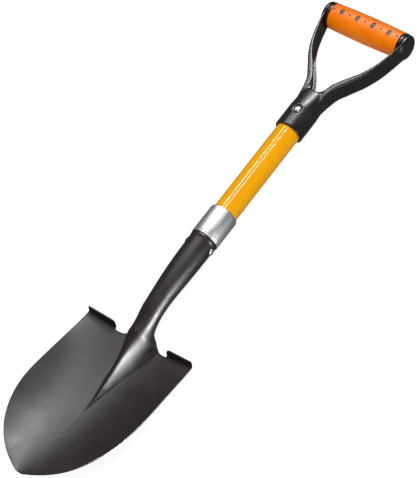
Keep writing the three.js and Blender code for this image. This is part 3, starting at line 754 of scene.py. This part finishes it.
def rivet(name, axis, x, seat_low, seat_high, head_r, height):
    """A shank with a domed head at each end."""
    dome = [(math.sin(a), math.cos(a)) for a in np.linspace(0, math.pi / 2, 10)]
    loop = [(seat_low - height * s, head_r * c) for s, c in reversed(dome)]
    loop += [(seat_low, SHANK_R), (seat_high, SHANK_R)]
    loop += [(seat_high + height * s, head_r * c) for s, c in dome]
    return turned(name, loop, axis, (x, 0, 0), 64)


# Zinc plate: bright and slightly blue-white, softened by fine handling marks.
rivet_zinc, shader = start_material("zinc_plated_steel", {
    "Base Color": linear("#C9CBCE"), "Metallic": 1.0})
marks = object_noise(shader, 700.0, 4.0)
vary_roughness(shader, marks, 0.3, 0.44)
add_grain(shader, marks, 0.1, 0.0003)

socket_rivet = rivet("socket_rivet_domed", "y", SOCKET_RIVET_X, seat_low=-16.75,
                     seat_high=16.75, head_r=4.2, height=2.05)
finish_piece(socket_rivet, rivet_zinc, ["socket_rivet"])
yoke_rivet = rivet("yoke_rivet_domed", "z", RIVET_X, seat_low=-17.9, seat_high=16.6,
                   head_r=4.3, height=1.7)
finish_piece(yoke_rivet, rivet_zinc, ["yoke_rivet"])
washer = turned("tail_washer", [(-17.6, 2.9), (-17.6, 4.7), (-17.4, 4.9), (-16.8, 4.9),
                                (-16.6, 4.7), (-16.6, 2.9)], "z", (RIVET_X, 0, 0), 64)
finish_piece(washer, rivet_zinc, ["yoke_rivet_washer"])

# ---------------------------------------------------------------- grip
# A black nylon core with a collar at each end, over-moulded with a soft orange sleeve. A row
# of openings along the front of the sleeve lets pads of the core show, just below its skin.

SLEEVE_HALF = 47.8
SLEEVE_R_MID = 16.87
SLEEVE_R_END = 15.87
CORE_R = 13.3
COLLAR_END = 52.6
WINDOW_PITCH = 11.08
OVAL = (4.8, 8.4)
DOT = 2.6
PAD_GAP = 1.0
PAD_HEIGHT = 5.7
ROD_BORE_R = 4.3


def window_tree():
    """Nodes for a row of upright prisms: ovals at the odd places and dots at the even."""
    made = bpy.data.node_groups.new("window_row", "GeometryNodeTree")
    face = made.interface
    face.new_socket("Geometry", in_out="INPUT", socket_type="NodeSocketGeometry")
    for name in ("Pitch", "Oval Along", "Oval Around", "Dot", "From", "Height", "Crown"):
        face.new_socket(name, in_out="INPUT", socket_type="NodeSocketFloat")
    face.new_socket("Material", in_out="INPUT", socket_type="NodeSocketMaterial")
    face.new_socket("Geometry", in_out="OUTPUT", socket_type="NodeSocketGeometry")
    given = made.nodes.new("NodeGroupInput").outputs
    start = add(made, "ShaderNodeMath", {"operation": "MULTIPLY"}, {0: given["Pitch"], 1: -4.0})
    first = add(made, "ShaderNodeCombineXYZ", {}, {"X": GRIP_X, "Y": start.outputs[0],
                                                   "Z": given["From"]})
    step = add(made, "ShaderNodeCombineXYZ", {}, {"Y": given["Pitch"]})
    row = add(made, "GeometryNodeMeshLine", {}, {"Count": 9, "Start Location": first.outputs[0],
                                                 "Offset": step.outputs[0]})
    here = add(made, "GeometryNodeInputPosition", {}, {})
    apart = add(made, "ShaderNodeSeparateXYZ", {}, {0: here.outputs[0]})
    share = add(made, "ShaderNodeMath", {"operation": "DIVIDE"}, {0: apart.outputs["Y"],
                                                                  1: SLEEVE_HALF})
    square = add(made, "ShaderNodeMath", {"operation": "MULTIPLY"}, {0: share.outputs[0],
                                                                     1: share.outputs[0]})
    drop = add(made, "ShaderNodeMath", {"operation": "MULTIPLY"}, {0: square.outputs[0],
                                                                   1: given["Crown"]})
    fall = add(made, "ShaderNodeMath", {"operation": "MULTIPLY"}, {0: drop.outputs[0], 1: -1.0})
    shift = add(made, "ShaderNodeCombineXYZ", {}, {"Z": fall.outputs[0]})
    crowned = add(made, "GeometryNodeSetPosition", {}, {"Geometry": row.outputs[0],
                                                        "Offset": shift.outputs[0]})
    index = add(made, "GeometryNodeInputIndex", {}, {})
    odd = add(made, "ShaderNodeMath", {"operation": "MODULO"}, {0: index.outputs[0], 1: 2.0})
    even = add(made, "ShaderNodeMath", {"operation": "SUBTRACT"}, {0: 1.0, 1: odd.outputs[0]})
    sets = add(made, "GeometryNodeJoinGeometry", {}, {})
    for chosen, along, around in ((odd, given["Oval Along"], given["Oval Around"]),
                                  (even, given["Dot"], given["Dot"])):
        frame_curve = add(made, "GeometryNodeCurvePrimitiveQuadrilateral", {},
                          {"Width": around, "Height": along})
        radius = add(made, "ShaderNodeMath", {"operation": "MULTIPLY"}, {0: along, 1: 0.499})
        rounded = add(made, "GeometryNodeFilletCurve", {"mode": "POLY"},
                      {"Curve": frame_curve.outputs[0], "Count": 8, "Radius": radius.outputs[0]})
        filled = add(made, "GeometryNodeFillCurve", {"mode": "NGONS"},
                     {"Curve": rounded.outputs[0]})
        risen = add(made, "GeometryNodeExtrudeMesh", {}, {"Mesh": filled.outputs[0],
                                                          "Offset Scale": given["Height"]})
        under = add(made, "GeometryNodeFlipFaces", {}, {"Mesh": filled.outputs[0]})
        closed = add(made, "GeometryNodeJoinGeometry", {}, {"Geometry": risen.outputs[0]})
        made.links.new(under.outputs[0], closed.inputs[0])
        welded = add(made, "GeometryNodeMergeByDistance", {}, {"Geometry": closed.outputs[0],
                                                               "Distance": 0.0005})
        placed = add(made, "GeometryNodeInstanceOnPoints", {}, {
            "Points": crowned.outputs[0], "Selection": chosen.outputs[0],
            "Instance": welded.outputs[0]})
        made.links.new(placed.outputs[0], sets.inputs[0])
    real = add(made, "GeometryNodeRealizeInstances", {}, {"Geometry": sets.outputs[0]})
    painted = add(made, "GeometryNodeSetMaterial", {}, {"Geometry": real.outputs[0],
                                                        "Material": given["Material"]})
    add(made, "NodeGroupOutput", {}, {"Geometry": painted.outputs[0]})
    return made


window_row = window_tree()


def windows(name, shrink, start, height, material):
    """A row of window prisms, made smaller by `shrink` and standing on `start`."""
    made = bpy.data.objects.new(name, bpy.data.meshes.new(name))
    bpy.context.scene.collection.objects.link(made)
    rows = made.modifiers.new("row", "NODES")
    rows.node_group = window_row
    sizes = {"Pitch": WINDOW_PITCH, "Oval Along": OVAL[0] - shrink,
             "Oval Around": OVAL[1] - shrink, "Dot": DOT - shrink, "From": start,
             "Height": height, "Crown": SLEEVE_R_MID - SLEEVE_R_END, "Material": material}
    for item in window_row.interface.items_tree:
        if item.in_out == "INPUT" and item.name in sizes:
            rows[item.identifier] = sizes[item.name]
    return settle(made)


# Core nylon: black like the yoke, and a shade glossier.
core_nylon, shader = start_material("glossy_black_nylon", {
    "Base Color": linear("#1C1A1A"), "IOR": 1.53, "Specular IOR Level": 0.3})
flow = object_noise(shader, 160.0, 3.0)
vary_roughness(shader, flow, 0.26, 0.36)
add_grain(shader, flow, 0.08, 0.0003)

# Soft rubber: matt and even, a strong orange with a slightly dusty bloom and a fine grain.
sleeve_rubber, shader = start_material("orange_soft_rubber", {
    "Roughness": 0.42, "IOR": 1.5, "Specular IOR Level": 0.3})
bloom = object_noise(shader, 60.0, 4.0)
vary_colour(shader, bloom, (0.35, "#FB7A00"), (0.7, "#FE8600"))
# grain of about 0.8 mm, drawn coarser than the real 0.2 mm so that it shows
add_grain(shader, object_noise(shader, 1300.0, 2.0), 0.12, 0.0004)

sleeve_line = [(u * SLEEVE_HALF, mix(SLEEVE_R_MID, SLEEVE_R_END, u * u) - drop)
               for u, drop in [(-1, 0.9), (-0.997, 0.4), (-0.985, 0.1)]
               + [(u, 0) for u in np.linspace(-0.97, 0.97, 23)]
               + [(0.985, 0.1), (0.997, 0.4), (1, 0.9)]]
sleeve = turned("grip_sleeve_moulded", sleeve_line + [(SLEEVE_HALF, CORE_R + 0.3),
                                                      (-SLEEVE_HALF, CORE_R + 0.3)],
                "y", (GRIP_X, 0, 0), 120)
cutters = windows("window_cutters", shrink=0, start=5, height=20, material=sleeve_rubber)
combine(sleeve, cutters, "DIFFERENCE")
finish_piece(sleeve, sleeve_rubber, ["grip_sleeve"])

collar = SLEEVE_R_END - 0.1
core_half = [(COLLAR_END, collar - 0.8), (COLLAR_END - 0.3, collar - 0.25),
             (COLLAR_END - 0.9, collar), (48.8, collar), (48.3, collar - 0.2),
             (48.1, collar - 0.6), (48.1, CORE_R)]
core = turned("grip_core_barrel", [(-y, r) for y, r in core_half] + core_half[::-1]
              + [(COLLAR_END, ROD_BORE_R), (-COLLAR_END, ROD_BORE_R)], "y", (GRIP_X, 0, 0), 120)
pads = windows("core_pads", shrink=PAD_GAP, start=10, height=PAD_HEIGHT, material=core_nylon)
combine(core, pads, "UNION")
finish_piece(core, core_nylon, ["grip_core"])

# ---------------------------------------------------------------- hidden pieces
# Two turned hardwood plugs keep the tube from crushing under the rivets, and a cold-drawn
# steel rod runs through the grip from boss to boss. They keep their plain turned shapes.

# Hardwood: pale tan with fine straight grain along the plug.
plug_wood, shader = start_material("turned_hardwood", {"Roughness": 0.62, "IOR": 1.5})
fibres = object_noise(shader, 1.0, 5.0, turn=SHAFT_TURN, stretch=(20.0, 900.0, 900.0))
vary_colour(shader, fibres, (0.3, "#A67C4A"), (0.7, "#CFA873"))

# Cold-drawn steel: grey and bright, with drawing lines along the rod.
rod_steel, shader = start_material("cold_drawn_steel", {
    "Base Color": linear("#B4B5B8"), "Metallic": 1.0})
lines = object_noise(shader, 1.0, 3.0, stretch=(1200.0, 12.0, 1200.0))
vary_roughness(shader, lines, 0.22, 0.4)

for node, material in (("lower_core_plug", plug_wood), ("upper_core_plug", plug_wood),
                       ("grip_rod", rod_steel)):
    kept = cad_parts[node]
    kept.data.materials.clear()
    kept.data.materials.append(material)
